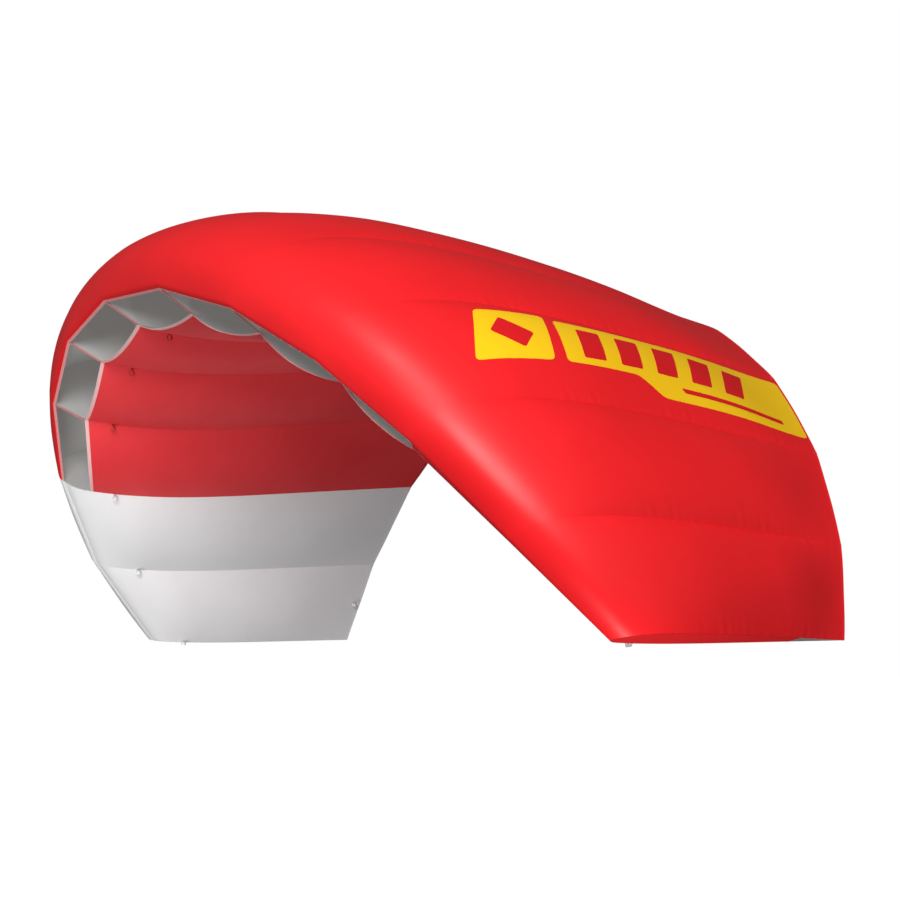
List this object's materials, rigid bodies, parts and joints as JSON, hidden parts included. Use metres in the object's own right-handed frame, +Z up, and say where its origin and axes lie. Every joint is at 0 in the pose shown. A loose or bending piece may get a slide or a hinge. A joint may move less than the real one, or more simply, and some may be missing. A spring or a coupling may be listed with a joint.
{
  "type": "ram-air foil kite",
  "caption": "Arched ram-air foil kite for kitesurfing, with open intakes along the nose, closed tips, line tabs and brakes.",
  "frame": {"origin": "midway between the two front line tabs nearest the centre, on the lower skin", "axes": "+X along the span to the right tip, +Y from the leading edge to the trailing edge, +Z up, away from the lines"},
  "size_m": [3.2846, 1.774, 1.3282],
  "materials": {
    "red_ripstop": "coated ripstop nylon, bright red, soft sheen",
    "deep_red_ripstop": "coated ripstop nylon, deeper red under side",
    "white_ripstop": "coated ripstop nylon, white",
    "rib_cloth": "white inner cloth seen in shade",
    "webbing": "woven polyester webbing, red on the red cells and white at the tips"
  },
  "bodies": {
    "root": {"bottom_panel_01": "white_ripstop", "bottom_panel_02": "white_ripstop", "bottom_panel_03": "deep_red_ripstop", "bottom_panel_04": "deep_red_ripstop", "bottom_panel_05": "deep_red_ripstop", "bottom_panel_06": "deep_red_ripstop", "bottom_panel_07": "deep_red_ripstop", "bottom_panel_08": "deep_red_ripstop", "bottom_panel_09": "deep_red_ripstop", "bottom_panel_10": "white_ripstop", "bottom_panel_11": "white_ripstop", "rib_01": "rib_cloth", "rib_02": "rib_cloth", "rib_03": "rib_cloth", "rib_04": "rib_cloth", "rib_05": "rib_cloth", "rib_06": "rib_cloth", "rib_07": "rib_cloth", "rib_08": "rib_cloth", "rib_09": "rib_cloth", "rib_10": "rib_cloth", "rib_11": "rib_cloth", "rib_12": "rib_cloth", "top_panel_01": "red_ripstop", "top_panel_02": "red_ripstop", "top_panel_03": "red_ripstop", "top_panel_04": "red_ripstop", "top_panel_05": "red_ripstop", "top_panel_06": "red_ripstop", "top_panel_07": "red_ripstop", "top_panel_08": "red_ripstop", "top_panel_09": "red_ripstop", "top_panel_10": "red_ripstop", "top_panel_11": "red_ripstop", "tail_06": "red_ripstop"},
    "tail_01": {"tail_01": "red_ripstop", "brake_tab_left": "webbing"},
    "tail_02": {"tail_02": "red_ripstop"},
    "tail_03": {"tail_03": "red_ripstop"},
    "tail_04": {"tail_04": "red_ripstop"},
    "tail_05": {"tail_05": "red_ripstop"},
    "tail_07": {"tail_07": "red_ripstop"},
    "tail_08": {"tail_08": "red_ripstop"},
    "tail_09": {"tail_09": "red_ripstop"},
    "tail_10": {"tail_10": "red_ripstop"},
    "tail_11": {"tail_11": "red_ripstop", "brake_tab_right": "webbing"},
    "front_tab_01": {"front_tab_01": "webbing"},
    "front_tab_02": {"front_tab_02": "webbing"},
    "front_tab_03": {"front_tab_03": "webbing"},
    "front_tab_04": {"front_tab_04": "webbing"},
    "front_tab_05": {"front_tab_05": "webbing"},
    "front_tab_06": {"front_tab_06": "webbing"},
    "front_tab_07": {"front_tab_07": "webbing"},
    "front_tab_08": {"front_tab_08": "webbing"},
    "front_tab_09": {"front_tab_09": "webbing"},
    "front_tab_10": {"front_tab_10": "webbing"},
    "front_tab_11": {"front_tab_11": "webbing"},
    "front_tab_12": {"front_tab_12": "webbing"}
  },
  "joints": [
    {"name": "tail_hinge_01", "type": "hinge", "parent": "root", "child": "tail_01", "pos_m": [-1.45287, 1.14468, -0.84078], "axis": [-0.3487, 0.0399, -0.9364], "range_deg": [0, 20], "stiffness_Nm_per_rad": 1, "springref_deg": -11.46},
    {"name": "tail_hinge_02", "type": "hinge", "parent": "root", "child": "tail_02", "pos_m": [-1.3091, 1.13687, -0.57998], "axis": [-0.5847, 0.013, -0.8112], "range_deg": [0, 16], "stiffness_Nm_per_rad": 1, "springref_deg": -11.46},
    {"name": "tail_hinge_03", "type": "hinge", "parent": "root", "child": "tail_03", "pos_m": [-1.07601, 1.13544, -0.3345], "axis": [-0.7683, -0.0037, -0.6401], "range_deg": [0, 12], "stiffness_Nm_per_rad": 1, "springref_deg": -11.46},
    {"name": "tail_hinge_04", "type": "hinge", "parent": "root", "child": "tail_04", "pos_m": [-0.76506, 1.13873, -0.13557], "axis": [-0.8978, -0.0131, -0.4402], "range_deg": [0, 8], "stiffness_Nm_per_rad": 1, "springref_deg": -11.46},
    {"name": "tail_hinge_05", "type": "hinge", "parent": "root", "child": "tail_05", "pos_m": [-0.39739, 1.14432, -0.00668], "axis": [-0.9745, -0.0147, -0.2237], "range_deg": [0, 4], "stiffness_Nm_per_rad": 1, "springref_deg": -11.46},
    {"name": "tail_hinge_07", "type": "hinge", "parent": "root", "child": "tail_07", "pos_m": [0.39739, 1.14432, -0.00668], "axis": [-0.9745, 0.0147, 0.2237], "range_deg": [0, 4], "stiffness_Nm_per_rad": 1, "springref_deg": -11.46},
    {"name": "tail_hinge_08", "type": "hinge", "parent": "root", "child": "tail_08", "pos_m": [0.76506, 1.13873, -0.13557], "axis": [-0.8978, 0.0131, 0.4402], "range_deg": [0, 8], "stiffness_Nm_per_rad": 1, "springref_deg": -11.46},
    {"name": "tail_hinge_09", "type": "hinge", "parent": "root", "child": "tail_09", "pos_m": [1.07601, 1.13544, -0.3345], "axis": [-0.7683, 0.0037, 0.6401], "range_deg": [0, 12], "stiffness_Nm_per_rad": 1, "springref_deg": -11.46},
    {"name": "tail_hinge_10", "type": "hinge", "parent": "root", "child": "tail_10", "pos_m": [1.3091, 1.13687, -0.57998], "axis": [-0.5847, -0.013, 0.8112], "range_deg": [0, 16], "stiffness_Nm_per_rad": 1, "springref_deg": -11.46},
    {"name": "tail_hinge_11", "type": "hinge", "parent": "root", "child": "tail_11", "pos_m": [1.45287, 1.14468, -0.84078], "axis": [-0.3487, -0.0399, 0.9364], "range_deg": [0, 20], "stiffness_Nm_per_rad": 1, "springref_deg": -11.46},
    {"name": "front_tab_01_swing", "type": "hinge", "parent": "root", "child": "front_tab_01", "pos_m": [-1.49582, 0.63751, -0.97444], "axis": [0.1156, 0.9931, -0.0221], "range_deg": [-50, 50], "stiffness_Nm_per_rad": 0.02},
    {"name": "front_tab_02_swing", "type": "hinge", "parent": "root", "child": "front_tab_02", "pos_m": [-1.38884, 0.4175, -0.72068], "axis": [0.1047, 0.9931, -0.0538], "range_deg": [-50, 50], "stiffness_Nm_per_rad": 0.02},
    {"name": "front_tab_03_swing", "type": "hinge", "parent": "root", "child": "front_tab_03", "pos_m": [-1.19518, 0.24498, -0.46813], "axis": [0.0869, 0.9931, -0.0793], "range_deg": [-50, 50], "stiffness_Nm_per_rad": 0.02},
    {"name": "front_tab_04_swing", "type": "hinge", "parent": "root", "child": "front_tab_04", "pos_m": [-0.92015, 0.11891, -0.24828], "axis": [0.0647, 0.9931, -0.0983], "range_deg": [-50, 50], "stiffness_Nm_per_rad": 0.02},
    {"name": "front_tab_05_swing", "type": "hinge", "parent": "root", "child": "front_tab_05", "pos_m": [-0.57998, 0.03788, -0.0869], "axis": [0.0397, 0.9931, -0.1107], "range_deg": [-50, 50], "stiffness_Nm_per_rad": 0.02},
    {"name": "front_tab_06_swing", "type": "hinge", "parent": "root", "child": "front_tab_06", "pos_m": [-0.19809, -0.00021, -0.00178], "axis": [0.0134, 0.9931, -0.1169], "range_deg": [-50, 50], "stiffness_Nm_per_rad": 0.02},
    {"name": "front_tab_07_swing", "type": "hinge", "parent": "root", "child": "front_tab_07", "pos_m": [0.19809, -0.00021, -0.00178], "axis": [-0.0134, 0.9931, -0.1169], "range_deg": [-50, 50], "stiffness_Nm_per_rad": 0.02},
    {"name": "front_tab_08_swing", "type": "hinge", "parent": "root", "child": "front_tab_08", "pos_m": [0.57998, 0.03788, -0.0869], "axis": [-0.0397, 0.9931, -0.1107], "range_deg": [-50, 50], "stiffness_Nm_per_rad": 0.02},
    {"name": "front_tab_09_swing", "type": "hinge", "parent": "root", "child": "front_tab_09", "pos_m": [0.92015, 0.11891, -0.24828], "axis": [-0.0647, 0.9931, -0.0983], "range_deg": [-50, 50], "stiffness_Nm_per_rad": 0.02},
    {"name": "front_tab_10_swing", "type": "hinge", "parent": "root", "child": "front_tab_10", "pos_m": [1.19518, 0.24498, -0.46813], "axis": [-0.0869, 0.9931, -0.0793], "range_deg": [-50, 50], "stiffness_Nm_per_rad": 0.02},
    {"name": "front_tab_11_swing", "type": "hinge", "parent": "root", "child": "front_tab_11", "pos_m": [1.38884, 0.4175, -0.72068], "axis": [-0.1047, 0.9931, -0.0538], "range_deg": [-50, 50], "stiffness_Nm_per_rad": 0.02},
    {"name": "front_tab_12_swing", "type": "hinge", "parent": "root", "child": "front_tab_12", "pos_m": [1.49582, 0.63751, -0.97444], "axis": [-0.1156, 0.9931, -0.0221], "range_deg": [-50, 50], "stiffness_Nm_per_rad": 0.02}
  ],
  "couplings": [
    {"joint": "tail_hinge_02", "follows": "tail_hinge_01", "ratio": 0.8},
    {"joint": "tail_hinge_03", "follows": "tail_hinge_01", "ratio": 0.6},
    {"joint": "tail_hinge_04", "follows": "tail_hinge_01", "ratio": 0.4},
    {"joint": "tail_hinge_05", "follows": "tail_hinge_01", "ratio": 0.2},
    {"joint": "tail_hinge_07", "follows": "tail_hinge_11", "ratio": 0.2},
    {"joint": "tail_hinge_08", "follows": "tail_hinge_11", "ratio": 0.4},
    {"joint": "tail_hinge_09", "follows": "tail_hinge_11", "ratio": 0.6},
    {"joint": "tail_hinge_10", "follows": "tail_hinge_11", "ratio": 0.8}
  ]
}
